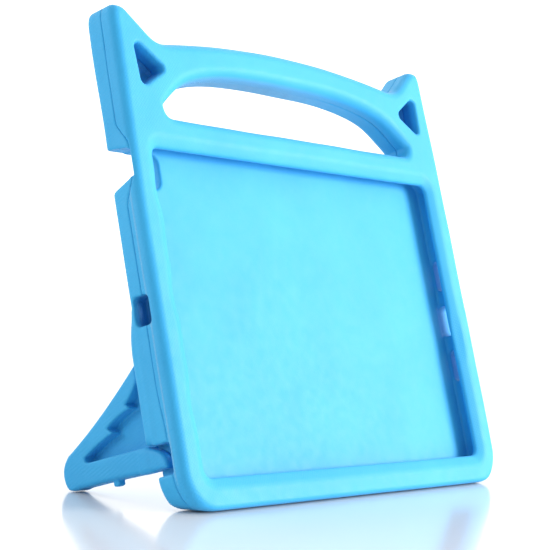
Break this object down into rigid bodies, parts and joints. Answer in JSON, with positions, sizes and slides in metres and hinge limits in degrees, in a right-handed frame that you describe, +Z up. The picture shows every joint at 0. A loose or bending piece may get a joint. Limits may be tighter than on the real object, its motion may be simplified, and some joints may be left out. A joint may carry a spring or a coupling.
{
  "type": "tablet case",
  "caption": "Foam tablet case with a carry handle, two pointed ears and fold-out triangular legs, standing open on its legs.",
  "frame": {"origin": "on the table, under the middle of the case's flat bottom edge, with the legs open", "axes": "+X to the right of someone facing the screen, +Y away from them, +Z up; the case leans back 17.5 degrees"},
  "size_m": [0.264, 0.0908, 0.2381],
  "materials": {
    "body_foam": "satin closed-cell foam with a fine woven-looking grain",
    "leg_foam": "satin closed-cell foam with a fine woven-looking grain"
  },
  "bodies": {
    "case": {"front_frame": "body_foam", "back_shell": "body_foam"},
    "left_leg": {"left_leg": "leg_foam", "left_hinge": "leg_foam"},
    "right_leg": {"right_leg": "leg_foam", "right_hinge": "leg_foam"}
  },
  "joints": [
    {"name": "left_leg_fold", "type": "hinge", "parent": "case", "child": "left_leg", "pos_m": [-0.1198, 0.02652, 0.04687], "axis": [0, -0.3007, -0.9537], "range_deg": [0, 90], "deforming": ["left_hinge"]},
    {"name": "right_leg_fold", "type": "hinge", "parent": "case", "child": "right_leg", "pos_m": [0.1198, 0.02652, 0.04687], "axis": [0, 0.3007, 0.9537], "range_deg": [0, 90], "deforming": ["right_hinge"]}
  ]
}
